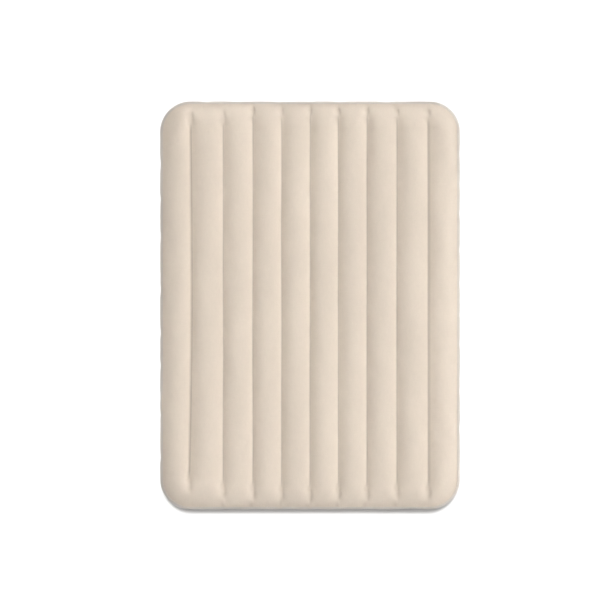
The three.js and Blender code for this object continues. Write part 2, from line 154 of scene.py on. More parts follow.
def bottom_rings(count):
    """The same for the bottom sheet's rim, which rounds off evenly up to its hem."""
    rings = []
    for number in range(1, count + 1):
        z = LOWER_SEAM_Z * (number / count) ** 2
        rings.append((CORNER_R - shoulder_inset(z), z))
    return rings


def smoothstep(low, high, value):
    t = min(1.0, max(0.0, (value - low) / (high - low)))
    return t * t * (3 - 2 * t)


def edge_wander(x, y):
    """Small slow unevenness of the welded edges, the same for the pieces that meet there."""
    return 1.6 * MM * noise.noise(Vector((x * 5.1, y * 5.1, 3.7)))


def groove_share(x):
    """1 at a beam's groove, 0 along the middle of each channel."""
    if x <= BEAM_X[0] or x >= BEAM_X[-1]:
        gap = BEAM_X[0] - x if x <= BEAM_X[0] else x - BEAM_X[-1]
        reach = (WIDTH / 2 - BEAM_X[-1]) / 2
        return max(0.0, 1 - gap / reach) ** 2
    index = max(i for i in range(BEAM_COUNT) if BEAM_X[i] <= x)
    share = (x - BEAM_X[index]) / (BEAM_X[index + 1] - BEAM_X[index])
    return (2 * share - 1) ** 2


def grid_lines(flat_places, rings):
    lines = [(place, 0, 0) for place in flat_places]
    for number in range(1, rings + 1):
        lines.insert(0, (flat_places[0], number, -1))
        lines.append((flat_places[-1], number, 1))
    return lines


def sheet_base(column, row, rings, flat_z):
    """Where a column line crosses a row line on the smooth pad, before any groove."""
    place_x, ring_x, sign_x = column
    place_y, ring_y, sign_y = row
    number = max(ring_x, ring_y)
    reach, z = rings[number - 1] if number else (0.0, flat_z)
    least = min(ring_x, ring_y) / max(number, 1)
    angle = least * math.pi / 4 if ring_x >= ring_y else math.pi / 2 - least * math.pi / 4
    x = place_x + sign_x * reach * (math.cos(angle) if ring_y else 1)
    y = place_y + sign_y * reach * (math.sin(angle) if ring_x else 1)
    return Vector((x, y, z))


# ---------------------------------------------------------------- mesh helpers


def new_object(name, vertices, faces, smooth=True):
    mesh = bpy.data.meshes.new(name)
    mesh.from_pydata([tuple(v) for v in vertices], [], faces)
    mesh.validate()
    mesh.update()
    for polygon in mesh.polygons:
        polygon.use_smooth = smooth
    piece = bpy.data.objects.new(name, mesh)
    bpy.context.scene.collection.objects.link(piece)
    return piece


def grid_object(name, grid, looped=False, flipped=False):
    """A sheet from grid[row][column] of points."""
    rows, columns = len(grid), len(grid[0])
    faces = []
    for r in range(rows - 1):
        for c in range(columns if looped else columns - 1):
            d = (c + 1) % columns
            face = (r * columns + c, r * columns + d, (r + 1) * columns + d, (r + 1) * columns + c)
            faces.append(tuple(reversed(face)) if flipped else face)
    return new_object(name, [p for row in grid for p in row], faces)


def apply_modifiers(piece):
    bpy.context.view_layer.update()
    evaluated = piece.evaluated_get(bpy.context.evaluated_depsgraph_get())
    mesh = bpy.data.meshes.new_from_object(evaluated)
    old = piece.data
    piece.modifiers.clear()
    piece.data = mesh
    bpy.data.meshes.remove(old)


def thicken(piece, thickness, levels=1):
    """One subdivision, then a real thickness on the inner side."""
    if levels:
        subdivision = piece.modifiers.new("subdivision", "SUBSURF")
        subdivision.levels = levels
        subdivision.render_levels = levels
    solid = piece.modifiers.new("thickness", "SOLIDIFY")
    solid.thickness = thickness
    solid.offset = -1
    apply_modifiers(piece)


# ---------------------------------------------------------------- top sheet

CHANNEL_STEPS = (0, 0.03, 0.08, 0.17, 0.28, 0.41, 0.59, 0.72, 0.83, 0.92, 0.97)
FLAT_ROWS = 77
TOP_RINGS = 12
TOP_THICKNESS = 1.2 * MM
# How far each weld line, left to right, ends past its beam's head end and short of its foot end.
HEAD_END_SHIFTS = (-32, -30, 18, 4, 26, 10, 22, 0, -8)
FOOT_END_SHIFTS = (52, 24, 12, 8, 0, 10, 4, 14, 10)
HEAD_ENDS = [BEAM_HEAD_Y + shift * MM for shift in HEAD_END_SHIFTS]
FOOT_ENDS = [BEAM_FOOT_Y + shift * MM for shift in FOOT_END_SHIFTS]
END_FADE = 60 * MM
GROOVE_ROUNDING = 12 * MM      # eases the grooves out where the shoulder falls below them
WELD_WIDTH = 60 * MM           # how far beside a weld line its wander is felt
STRIP_HALF = 22 * MM           # half a weld strip's width, with room beside it
STRIP_ROOM = 4 * MM            # how far past a strip's end the sheet stays over it
PAST_STRIP_SLOPE = 0.9

PUCKER_START = -25 * MM
PUCKER_LENGTH = 85 * MM
PUCKER_DEPTH = 14 * MM
PUCKER_LEFT = 30 * MM
PUCKER_RIGHT = 14 * MM
PUCKER_SHIFT = -3 * MM
HEM_CLEAR = (5 * MM, 55 * MM)  # where a dimple fades in, from the hem

AIR_FRAMES = 20
CALM_ROWS = 4.0                # spread of the lengthwise smoothing, in grid rows
RIPPLES_KEPT = 0.25
RIPPLE_END_ROWS = 5            # all ripples are kept at the hems, where the sheet is welded


def pucker(x, y):
    """Depth of the narrow dimple that runs on past a beam's end and opens over the shoulder."""
    index = nearest_beam(x)
    past = past_end(index, y)
    if past < PUCKER_START or past > PUCKER_LENGTH:
        return 0.0
    middle = BEAM_X[index] + beam_drift(index, y) + PUCKER_SHIFT
    half = PUCKER_LEFT if x < middle else PUCKER_RIGHT
    across = (x - middle) / (half * (0.6 + 0.7 * max(0.0, past) / PUCKER_LENGTH))
    fade = smoothstep(PUCKER_START, 12 * MM, past)
    fade *= 1 - smoothstep(0.3 * PUCKER_LENGTH, PUCKER_LENGTH, past)
    fade *= smoothstep(*HEM_CLEAR, FLAT_Y + HEM_REACH - abs(y))
    return PUCKER_DEPTH * fade * math.exp(-across * across * 1.6)


def lowest_over_strip(point):
    """How low the sheet may come over a weld strip, and over the slope past the strip's ends."""
    if abs(point.x - BEAM_X[nearest_beam(point.x)]) > STRIP_HALF:
        return 0.0
    past = max(point.y - BEAM_HEAD_Y, BEAM_FOOT_Y - point.y)
    return GROOVE_Z - PAST_STRIP_SLOPE * max(0.0, past - STRIP_ROOM)


def nearest_beam(x):
    return min(range(BEAM_COUNT), key=lambda i: abs(BEAM_X[i] - x))


def past_end(index, y):
    """How far past the nearer end of a weld line a place is; negative along the line."""
    return max(y - HEAD_ENDS[index], FOOT_ENDS[index] - y)


def beam_drift(index, y):
    """The weld lines wander a little sideways; the leftmost one wanders most."""
    drift = 2.5 * MM * noise.noise(Vector((index * 9.3, y * 1.7, 0.5)))
    if index == 0:
        drift -= (7 if y > 0 else 12) * MM * min(1.0, abs(y) / 0.85) ** 2
    return drift


def groove_hold(x, y):
    """1 where the nearest beam holds the sheet down, fading to 0 past the beam's end."""
    return 1 - smoothstep(-15 * MM, END_FADE, past_end(nearest_beam(x), y))


def channel_places(steps):
    """Where the grid lines stand across a sheet, from shares of each channel's width."""
    places = [-FLAT_X]
    for left, right in zip(BEAM_X, BEAM_X[1:]):
        places += [left + (right - left) * step for step in steps]
    return places + [BEAM_X[-1], FLAT_X]


def top_grid():
    rings = top_rings(TOP_RINGS)
    columns = grid_lines(channel_places(CHANNEL_STEPS), TOP_RINGS)
    rows = grid_lines([float(y) for y in np.linspace(-FLAT_Y, FLAT_Y, FLAT_ROWS)], TOP_RINGS)
    grid = []
    for row in rows:
        line = []
        for column in columns:
            point = sheet_base(column, row, rings, HEIGHT)
            hold = groove_hold(point.x, point.y)
            above = point.z - GROOVE_Z
            eased = (above + math.hypot(above, GROOVE_ROUNDING)) / 2
            point.z -= eased * groove_share(point.x) * hold
            index = nearest_beam(point.x)
            nearness = max(0.0, 1 - abs(BEAM_X[index] - point.x) / WELD_WIDTH)
            point.x += beam_drift(index, point.y) * nearness
            line.append(point)
        grid.append(line)
    for line in (grid[0], grid[-1], [row[0] for row in grid], [row[-1] for row in grid]):
        for point in line:
            point.z += edge_wander(point.x, point.y)
    return grid, columns, rows


def inflate(piece, pinned, pressure, growth, bending, cap):
    """Cloth under air pressure, with the pinned points held and a cap on every movement."""
    group = piece.vertex_groups.new(name="held")
    group.add(pinned, 1.0, "REPLACE")
    start = np.array([v.co for v in piece.data.vertices])
    cloth = piece.modifiers.new("air", "CLOTH")
    settings = cloth.settings
    settings.quality = 6
    settings.mass = 0.3
    settings.tension_stiffness = 25
    settings.compression_stiffness = 25
    settings.shear_stiffness = 8
    settings.bending_stiffness = bending
    settings.air_damping = 2
    settings.use_pressure = True
    settings.uniform_pressure_force = pressure
    settings.shrink_min = -growth
    settings.vertex_group_mass = "held"
    settings.effector_weights.gravity = 0
    cloth.collision_settings.use_collision = False
    scene = bpy.context.scene
    for number in range(1, AIR_FRAMES + 1):
        scene.frame_set(number)
    apply_modifiers(piece)
    scene.frame_set(1)
    piece.vertex_groups.clear()
    moved = np.array([v.co for v in piece.data.vertices]) - start
    length = np.linalg.norm(moved, axis=1)
    print("inflate", piece.name, "moved mm: mean", round(length.mean() * 1000, 2),
          "max", round(length.max() * 1000, 2))
    scale = np.minimum(1, cap / np.maximum(length, 1e-9))
    for vertex, origin, move in zip(piece.data.vertices, start, moved * scale[:, None]):
        vertex.co = Vector(origin + move)
    piece.data.update()


def weld_lines(columns):
    """The grid columns that lie on a beam, with the beam's number."""
    return {c: i for c, column in enumerate(columns) if column[1] == 0
            for i, x in enumerate(BEAM_X) if abs(column[0] - x) < 0.1 * MM}


def crease_grooves(piece, columns):
    """Sharp subdivision creases along the welded length of each beam."""
    count = len(columns)
    lines = weld_lines(columns)
    crease = piece.data.attributes.new("crease_edge", "FLOAT", "EDGE")
    for edge in piece.data.edges:
        a, b = edge.vertices
        if a % count == b % count and a % count in lines:
            y = (piece.data.vertices[a].co.y + piece.data.vertices[b].co.y) / 2
            past = past_end(lines[a % count], y)
            crease.data[edge.index].value = 0.9 * (1 - smoothstep(-20 * MM, 10 * MM, past))


def mark_painted_crease_shade(piece, columns):
    """Painted crease shade along the weld lines, partly standing for the flock crushed by the weld:
    1 on a weld line (the leftmost line gets the deepest painted shade), fading past its ends.
    """
    count = len(columns)
    lines = weld_lines(columns)
    painted_crease_shade = piece.data.attributes.new("painted_crease_shade", "FLOAT", "POINT")
    for vertex in piece.data.vertices:
        index = lines.get(vertex.index % count)
        if index is not None:
            strength = 1.0 if index == 0 else 0.7
            painted_crease_shade.data[vertex.index].value = strength * (
                1 - smoothstep(-35 * MM, 15 * MM, past_end(index, vertex.co.y)))


def calm_lengthwise(piece, start, count):
    """Keeps the crown that the air gives each channel, and only part of the ripples along it."""
    moved = (np.array([v.co for v in piece.data.vertices]) - start).reshape(-1, count, 3)
    reach = 9
    weights = np.exp(-0.5 * (np.arange(-reach, reach + 1) / CALM_ROWS) ** 2)
    weights /= weights.sum()
    padded = np.pad(moved, ((reach, reach), (0, 0), (0, 0)), mode="edge")
    calm = sum(w * padded[k:k + len(moved)] for k, w in enumerate(weights))
    rows = np.arange(len(moved))
    ends = np.minimum(rows, len(moved) - 1 - rows) / RIPPLE_END_ROWS
    share = (RIPPLES_KEPT + (1 - RIPPLES_KEPT) * np.clip(1 - ends, 0, 1))[:, None, None]
    final = start + (calm + (moved - calm) * share).reshape(-1, 3)
    piece.data.vertices.foreach_set("co", final.ravel())
    piece.data.update()


def make_top_sheet():
    grid, columns, rows = top_grid()
    piece = grid_object("flocked_top_sheet", grid)
    count = len(columns)
    lines = weld_lines(columns)
    pinned = []
    for r, row in enumerate(rows):
        for c, column in enumerate(columns):
            on_hem = TOP_RINGS in (row[1], column[1])
            on_beam = c in lines and past_end(lines[c], grid[r][c].y) <= 0
            if on_hem or on_beam:
                pinned.append(r * count + c)
    start = np.array([v.co for v in piece.data.vertices])
    inflate(piece, pinned, pressure=4, growth=0.010, bending=8, cap=16 * MM)
    calm_lengthwise(piece, start, count)
    for vertex in piece.data.vertices:
        vertex.co -= vertex.normal * pucker(vertex.co.x, vertex.co.y)
        vertex.co.z = max(vertex.co.z, lowest_over_strip(vertex.co))
    crease_grooves(piece, columns)
    # painted shade along the weld creases, read by the flock's colour
    mark_painted_crease_shade(piece, columns)
    thicken(piece, TOP_THICKNESS)
    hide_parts("top_sheet")
    return piece


# ---------------------------------------------------------------- side wall and bottom sheet

JOINTS = {joint["name"]: joint for joint in frame["record"]["behaviour"]["joints"]}
VALVE = Vector(JOINTS["valve_turn"]["pos_m"])
WALL_THICKNESS = 0.4 * MM
WALL_ROWS = 25
BOTTOM_STEPS = (0, 0.05, 0.12, 0.2, 0.28, 0.5, 0.72, 0.8, 0.88, 0.95)
BOTTOM_ROWS = 35
BOTTOM_RINGS = 10
FLOOR_SHARE = 0.18             # groove share below which a channel lies flat on the floor
COLUMN_GAP = 26 * MM
CORNER_STEPS = 24
DISH_DEPTH = 11.5 * MM
DISH_FLAT_R = 46 * MM
DISH_RIM_R = 62 * MM
WALL_HOLE_R = 30.5 * MM
VALVE_FIELD = 70 * MM          # beside the valve, where the wall's lines stand closer
VALVE_GAP = 5.2 * MM


def spread(start, end, gap):
    """Even places from start to end, both ends left out."""
    count = max(1, round(abs(end - start) / gap))
    return [start + (end - start) * step / count for step in range(1, count)]


def band_columns(with_valve):
    """Where each upright line of the wall stands, and which way it faces, round the outline."""
    corners = [(1, -1), (1, 1), (-1, 1), (-1, -1)]
    columns = []
    for corner, (sx, sy) in enumerate(corners):
        for step in range(CORNER_STEPS + 1):
            angle = (corner - 1 + step / CORNER_STEPS) * math.pi / 2
            outward = Vector((math.cos(angle), math.sin(angle), 0))
            columns.append((Vector((sx * FLAT_X, sy * FLAT_Y, 0)), outward))
        if corner == 3:
            break
        along_y = corner != 1
        start = FLAT_Y * sy if along_y else FLAT_X * sx
        for place in spread(start, -start, COLUMN_GAP):
            base = Vector((sx * FLAT_X, place, 0)) if along_y else Vector((place, sy * FLAT_Y, 0))
            columns.append((base, outward))
    places = spread(-FLAT_X, FLAT_X, COLUMN_GAP)
    if with_valve:
        low, high = VALVE.x - VALVE_FIELD, VALVE.x + VALVE_FIELD
        places = [*spread(-FLAT_X, low, COLUMN_GAP), low, *spread(low, high, VALVE_GAP), high,
                  *spread(high, FLAT_X, COLUMN_GAP)]
    columns += [(Vector((place, -FLAT_Y, 0)), Vector((0, -1, 0))) for place in places]
    return columns


def from_valve(x, z):
    """Distance from the valve's axis."""
    return math.hypot(x - VALVE.x, z - VALVE.z)


def wall_inset(base, outward, z):
    """How far the wall stands inside the outline: shoulder, laps and the dish at the valve."""
    middle = (UPPER_SEAM_Z + LOWER_SEAM_Z) / 2
    half = (UPPER_SEAM_Z - LOWER_SEAM_Z) / 2
    inset = shoulder_inset(z) + LAP_INSET * min(1, abs(z - middle) / half) ** 2
    if outward.y < -0.999:
        dish = 1 - smoothstep(DISH_FLAT_R, DISH_RIM_R, from_valve(base.x, z))
        inset += (DISH_DEPTH - inset) * dish
    return inset


def make_side_wall():
    lap_low = [LOWER_SEAM_Z - LAP * share for share in (1, 0.6, 0.25)]
    lap_high = [UPPER_SEAM_Z + LAP * share for share in (0.25, 0.6, 1)]
    heights = lap_low + [float(z) for z in np.linspace(LOWER_SEAM_Z, UPPER_SEAM_Z, WALL_ROWS)]
    heights += lap_high
    columns = band_columns(True)
    grid = []
    for z in heights:
        grid.append([base + outward * (CORNER_R - wall_inset(base, outward, z)) + Vector((0, 0, z))
                     for base, outward in columns])
    piece = grid_object("side_wall_vinyl", grid, looped=True)
    pinned = []
    for number, vertex in enumerate(piece.data.vertices):
        at = vertex.co
        in_lap = at.z < LOWER_SEAM_Z + 1 * MM or at.z > UPPER_SEAM_Z - 1 * MM
        by_valve = at.y < -FLAT_Y and from_valve(at.x, at.z) < DISH_RIM_R + 2 * MM
        if in_lap or by_valve:
            pinned.append(number)
        else:
            vertex.co += 0.5 * MM * noise.noise_vector(at * 30)
    inflate(piece, pinned, pressure=4, growth=0.008, bending=0.5, cap=1.8 * MM)
    bm = bmesh.new()
    bm.from_mesh(piece.data)
    middles = {face: face.calc_center_median() for face in bm.faces}
    cut = [face for face, middle in middles.items()
           if middle.y < -FLAT_Y - 50 * MM and from_valve(middle.x, middle.z) < WALL_HOLE_R]
    bmesh.ops.delete(bm, geom=cut, context="FACES")
    bm.to_mesh(piece.data)
    bm.free()
    thicken(piece, WALL_THICKNESS)
    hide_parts("side_wall")
    return piece


def make_bottom_sheet():
    """Each channel lies flat on the floor along its middle and rises to its weld lines."""
    rings = bottom_rings(BOTTOM_RINGS)
    columns = grid_lines(channel_places(BOTTOM_STEPS), BOTTOM_RINGS)
    rows = grid_lines([float(y) for y in np.linspace(-FLAT_Y, FLAT_Y, BOTTOM_ROWS)], BOTTOM_RINGS)
    grid = []
    for row in rows:
        line = []
        for column in columns:
            point = sheet_base(column, row, rings, 0.0)
            share = groove_share(point.x)
            rise = max(0.0, (share - FLOOR_SHARE) / (1 - FLOOR_SHARE)) ** 1.2
            point.z += max(0.0, BOTTOM_GROOVE_Z - point.z) * rise
            line.append(point)
        grid.append(line)
    piece = grid_object("bottom_sheet_vinyl", grid, flipped=True)
    thicken(piece, WALL_THICKNESS)
    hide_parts("bottom_sheet")
    return piece


SKIRT_LEAN = 0.78               # how much the skirt leans in just above its hem


def make_seam_band(name, seam_z, upward, width, proud):
    """A flattened weld track along a hem; upward is +1 over the skirt and -1 over the rim."""
    profile = [(-0.35, 0.3), (-0.3, 0.8), (0.0, 1.0), (0.35, 0.9),
               (0.6, 1.0), (0.65, 0.2), (0.6, -0.6), (-0.3, -0.6)]
    grid = []
    for along, out in profile:
        line = []
        for base, outward in band_columns(False):
            z = seam_z + upward * along * width
            reach = CORNER_R - shoulder_inset(z) + out * proud
            if upward > 0:
                hem = base + outward * HEM_REACH
                reach = HEM_REACH - max(0.0, z - seam_z) * SKIRT_LEAN + out * proud
                z += edge_wander(hem.x, hem.y)
            line.append(base + outward * reach + Vector((0, 0, z)))
        grid.append(line)
    grid.append(grid[0])
    piece = grid_object(name, grid, looped=True, flipped=upward < 0)
    bm = bmesh.new()
    bm.from_mesh(piece.data)
    bmesh.ops.remove_doubles(bm, verts=bm.verts, dist=1e-6)
    bmesh.ops.recalc_face_normals(bm, faces=bm.faces)
    bm.to_mesh(piece.data)
    bm.free()
    return piece


# ---------------------------------------------------------------- valve

# Valve places are (across, up, outward) in millimetres from the middle of its seat.
SHARP = math.radians(38)
ROUND = 96
# Valve sizes in millimetres.
AXIS_R = 0.01                  # a round solid's profile closes here, next to its axis
COLLAR_R = 28
COLLAR_BORE_R = 25.4
FLANGE_R = 42
SKIRT_R = 24.6
THREAD_HEIGHT = 0.35
THROAT_R = 11
HEAD_R = 33.5
CAP_R = 15
LEASH_BEND_U = -38
SCALLOP_R = 4
SCALLOP_AWAY = 36.1
SCALLOP_COUNT = 12
RIB_COUNT = 24
STUD_V = 24.5                  # the cap strap's stud, above the valve's axis
FLAP_PIN_V, FLAP_PIN_W = 14.6, -22.4
CAP_HINGE_V = 18.8


def seat(u, v, w):
    """A place at the valve in millimetres: right, up and out of the wall."""
    return Vector((VALVE.x + u * MM, VALVE.y - w * MM, VALVE.z + v * MM))


def finish_solid(piece, bevel=0.0):
    """Welds and turns out the faces, rounds the edges and shades smooth between sharp ones."""
    bm = bmesh.new()
    bm.from_mesh(piece.data)
    bmesh.ops.remove_doubles(bm, verts=bm.verts, dist=1e-7)
    bmesh.ops.recalc_face_normals(bm, faces=bm.faces)
    bm.to_mesh(piece.data)
    bm.free()
    if bevel:
        modifier = piece.modifiers.new("rounding", "BEVEL")
        modifier.width = bevel * MM
        modifier.segments = 2
        modifier.limit_method = "ANGLE"
        modifier.angle_limit = math.radians(40)
        apply_modifiers(piece)
    for polygon in piece.data.polygons:
        polygon.use_smooth = True
    piece.data.set_sharp_from_angle(angle=SHARP)
    return piece


def turned(name, profile, sides=ROUND, bevel=0.0, shape=None):
    """A closed round solid from (radius, outward) points; shape can change a radius with angle."""
    grid = []
    for radius, w in profile + [profile[0]]:
        line = []
        for step in range(sides):
            angle = 2 * math.pi * step / sides
            r = shape(radius, w, angle) if shape else radius
            line.append(seat(r * math.cos(angle), r * math.sin(angle), w))
        grid.append(line)
    return finish_solid(grid_object(name, grid, looped=True), bevel)


def prism(name, outline, low, high, plane, bevel=0.3):
    """An outline of points pushed from low to high; plane places (a, b, depth) at the valve."""
    count = len(outline)
    points = [plane(a, b, low) for a, b in outline] + [plane(a, b, high) for a, b in outline]
    faces = [tuple(range(count)), tuple(reversed(range(count, 2 * count)))]
    faces += [(i, i + count, (i + 1) % count + count, (i + 1) % count) for i in range(count)]
    return finish_solid(new_object(name, points, faces), bevel)


def facing(a, b, depth):
    return seat(a, b, depth)


def from_side(a, b, depth):
    return seat(depth, a, b)


def from_above(a, b, depth):
    return seat(a, depth, b)


def combine(name, pieces):
    """Several solids kept as one object."""
    bm = bmesh.new()
    for piece in pieces:
        bm.from_mesh(piece.data)
        bpy.data.objects.remove(piece)
    mesh = bpy.data.meshes.new(name)
    bm.to_mesh(mesh)
    bm.free()
    mesh.set_sharp_from_angle(angle=SHARP)
    piece = bpy.data.objects.new(name, mesh)
    bpy.context.scene.collection.objects.link(piece)
    return piece


def arc(centre_a, centre_b, radius, start, end, steps):
    return [(centre_a + radius * math.cos(math.radians(start + (end - start) * k / steps)),
             centre_b + radius * math.sin(math.radians(start + (end - start) * k / steps)))
            for k in range(steps + 1)]


def thread(radius, start, end, height, pitch=2.0):
    """Profile points of shallow thread ridges from one depth to another."""
    points = []
    count = int(abs(end - start) / pitch)
    sign = 1 if end > start else -1
    for number in range(count):
        w = start + sign * number * pitch
        points += [(radius, w), (radius, w + sign * 0.7), (radius + height, w + sign * 1.1),
                   (radius + height, w + sign * 1.5)]
    return points + [(radius, end)]


def make_valve_base():
    front, back = -12.2, -14.2
    return turned("valve_seat", [
        (COLLAR_BORE_R, -30), (27.4, -30), (COLLAR_R, -29.2), (COLLAR_R, back - 0.6), (28.6, back),
        (41.2, back), (FLANGE_R, back + 0.5), (FLANGE_R, front - 0.3), (41.4, front),
        (COLLAR_R, front), (COLLAR_R, -8.5), (27.5, -8), (26.2, -8), (COLLAR_BORE_R, -8.8),
    ] + thread(COLLAR_BORE_R, -11, -29, THREAD_HEIGHT), bevel=0.2)


def make_gasket():
    return turned("valve_seal_ring", [(25.9, -7.4), (26.3, -7.7), (27.4, -7.7), (27.8, -7.3),
                                      (27.8, -6.9), (27.2, -6.6), (26.4, -6.6), (25.9, -6.9)])


def make_leash():
    collar = turned("leash_lower_ring", [(28.4, -11.2), (31.2, -11.2), (31.5, -10.9), (31.5, -10.2),
                                         (31.2, -9.9), (28.7, -9.9), (28.4, -10.2)])
    neck = turned("leash_upper_ring", [(29.4, -6.3), (32.2, -6.3), (32.5, -6.0), (32.5, -5.3),
                                       (32.2, -5.0), (29.7, -5.0), (29.4, -5.3)])
    low, high, thick = -11.1, -5.1, 1.1
    middle, bend = (low + high) / 2, (high - low) / 2
    outline = [(-31.0, low), *arc(LEASH_BEND_U, middle, bend, -90, -270, 18), (-32.0, high),
               (-32.0, high - thick), *arc(LEASH_BEND_U, middle, bend - thick, 90, 270, 18),
               (-31.0, low + thick)]
    strap = prism("leash_fold", outline, -4, 4, from_above, bevel=0.35)
    return collar, neck, strap


def scalloped(radius, w, angle):
    """The head's rim with its finger scallops."""
    if radius < HEAD_R - 1:
        return radius
    step = 2 * math.pi / SCALLOP_COUNT
    off = (angle / step - 0.5 - round(angle / step - 0.5)) * step
    across = abs(SCALLOP_AWAY * math.sin(off))
    if across >= SCALLOP_R:
        return radius
    bite = SCALLOP_AWAY * math.cos(off) - math.sqrt(SCALLOP_R ** 2 - across ** 2)
    return min(radius, bite - (HEAD_R - radius))


def make_plug():
    body = turned("plug_body", [
        (THROAT_R, -20.6), (11.5, -21), (12.5, -21), (12.9, -20.6), (12.9, -5.9), (13.4, -5.4),
        (21.5, -5.4), (22, -5.9), (22, -23.5), (22.5, -24), (24.2, -24), (SKIRT_R, -23.6),
        *thread(SKIRT_R, -22.5, -9, THREAD_HEIGHT),
        (24.9, -8.6), (24.9, -6.3), (25.4, -6.3), (29, -6.3), (29, -4.7), (32.9, -4.7),
        (HEAD_R, -4.3), (HEAD_R, -3.5), (32.9, -3.0), (29.4, -3.0), (28.9, -3.35), (27.6, -3.35),
        (27.1, -3.0), (17.2, -3.0), (16.7, -3.25), (15.4, -3.25), (11.6, -3.25), (THROAT_R, -3.8),
    ], sides=240, shape=scalloped)
    lugs = []
    for side in (-5.6, 3.6):
        outline = [(11.8, -19), (11.8, -20.7), (12.6, -20.7), (12.6, -23.2),
                   *arc(FLAP_PIN_V, FLAP_PIN_W, 1.8, 205, 335, 8), (16.6, -21.5), (16.6, -19)]
        lugs.append(prism("plug_lug", outline, side, side + 2, from_side, bevel=0.15))
    stud = turned("plug_stud", [(AXIS_R, -4), (1.8, -4), (1.8, -1.3), (2.3, -1.2), (2.3, -0.8),
                                (1.6, -0.6), (AXIS_R, -0.6)], sides=32)
    for vertex in stud.data.vertices:
        vertex.co.z += STUD_V * MM
    grips = []
    for number in range(RIB_COUNT):
        angle = 2 * math.pi * (number + 0.5) / RIB_COUNT
        if abs(math.cos(angle)) < 0.35 and math.sin(angle) > 0:
            continue          # the cap's strap lies here
        rib = prism("plug_rib", [(-0.45, 18.4), (0.45, 18.4), (0.7, 26.2), (-0.7, 26.2)],
                    -3.3, -2.45, facing, bevel=0.25)
        turn = Matrix.Translation(VALVE) @ Matrix.Rotation(angle, 4, "Y")
        rib.data.transform(turn @ Matrix.Translation(-VALVE))
        grips.append(rib)
    return combine("screw_plug", [body, *lugs, stud, *grips])


def make_flap():
    disc = turned("flap_disc", [(AXIS_R, -22.5), (11.8, -22.5), (12.4, -22.2), (12.4, -21.6),
                                (12.1, -21.3), (AXIS_R, -21.3)])
    tab = prism("flap_tab", [(-3.2, 9), (3.2, 9), (3.2, 14.4), (-3.2, 14.4)],
                -22.75, -21.45, facing, bevel=0.25)
    knuckle = prism("flap_knuckle", arc(FLAP_PIN_V, FLAP_PIN_W, 1.7, 0, 345, 23),
                    -3.2, 3.2, from_side, bevel=0.2)
    return combine("check_valve_flap", [disc, tab, knuckle])


def make_cap():
    dome = turned("cap_dome", [
        (AXIS_R, -9), (8.9, -9), (9.5, -8.4), (9.9, -6.6), (10.3, -6.3), (10.3, -5.9), (10.1, -5.6),
        (10.6, -2.7), (14.5, -2.7), (CAP_R, -2.3), (CAP_R, -1.1), (14.5, -0.6), (12.8, -0.6),
        (12.3, -1.0), (11.3, -1.0),
        (10.8, -0.75), (AXIS_R, -0.75),
    ])
    pull_outline = [(-4, -13), (4, -13), (4, -18.4), *arc(0, -16.8, 4.0, -25, -155, 10)[1:-1],
                    (-4, -18.4)]
    pull = prism("cap_pull", pull_outline, -2.6, -1.4, facing, bevel=0.35)
    ridges = [prism("cap_ridge", [(-2.6, v), (2.6, v), (2.6, v + 0.5), (-2.6, v + 0.5)],
                    -1.5, -1.1, facing, bevel=0.15) for v in (-17.2, -18.4, -19.6)]
    return combine("pump_cap", [dome, pull, *ridges])


def make_cap_strap():
    """One flexible strip from the cap's rim, over the thin hinge line, to the hole on the stud."""
    stations = [(13.0, -2.6, -1.5), (16.5, -2.7, -1.5), (18.0, -2.6, -1.6), (18.5, -2.4, -1.7),
                (CAP_HINGE_V, -2.3, -1.8), (19.1, -2.4, -1.7), (19.6, -2.6, -1.6),
                (21.0, -2.7, -1.5), (STUD_V, -2.7, -1.5), (28.0, -2.7, -1.5)]
    grid = []
    for v, low, high in stations:
        half = 4.0 if v < 27.5 else 3.2
        middle = (low + high) / 2
        grid.append([seat(-half, v, low), seat(half, v, low), seat(half, v, middle),
                     seat(half, v, high), seat(-half, v, high), seat(-half, v, middle)])
    strip = grid_object("cap_hinge_strap", grid, looped=True)
    bm = bmesh.new()
    bm.from_mesh(strip.data)
    bmesh.ops.holes_fill(bm, edges=[e for e in bm.edges if e.is_boundary])
    bm.to_mesh(strip.data)
    bm.free()
    return finish_solid(strip, bevel=0.2)


def moulded_valve():
    """Every valve piece with its material, slot, body and the solid it stands for."""
    lower_ring, upper_ring, fold = make_leash()
    rows = [
        (make_valve_base(), SEAT_PLASTIC, "valve_body", "mattress", ["valve_base"]),
        (make_gasket(), SEAL_RUBBER, "seal", "mattress", ["valve_gasket"]),
        (lower_ring, LEASH_PLASTIC, "leash", "mattress", ["leash_collar_ring"]),
        (upper_ring, LEASH_PLASTIC, "leash", "valve_leash", ["leash_neck_ring"]),
        (make_plug(), PLUG_PLASTIC, "valve_body", "valve_plug", ["valve_plug"]),
        (make_flap(), SEAL_RUBBER, "seal", "check_flap", ["check_flap"]),
        (make_cap(), CAP_PLASTIC, "valve_body", "valve_cap", ["valve_cap"]),
    ]
    for piece, material, slot, body, nodes in rows:
        paint(piece, material)
        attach(piece, body)
        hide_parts(*nodes)
    strap = make_cap_strap()
    paint(strap, CAP_PLASTIC)
    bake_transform(strap)
    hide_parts("cap_strap")
    paint(fold, LEASH_PLASTIC)
    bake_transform(fold)
    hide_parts("leash_strap")
    paint(frame["nodes"]["flap_pin"], PIN_PLASTIC)


# ---------------------------------------------------------------- lights and floor

FLOOR_REACH = 14


def emission_sun(name, direction, strength, spread, receivers=None):
    """A soft sun shining from a direction; receivers limits it to one collection."""
    light = bpy.data.lights.new(name, "SUN")
    light.energy = strength
    light.angle = math.radians(spread)
    lamp = bpy.data.objects.new(name, light)
    lamp.rotation_euler = Vector(direction).to_track_quat("Z", "Y").to_euler()
    bpy.context.scene.collection.objects.link(lamp)
    if receivers:
        lamp.light_linking.receiver_collection = receivers


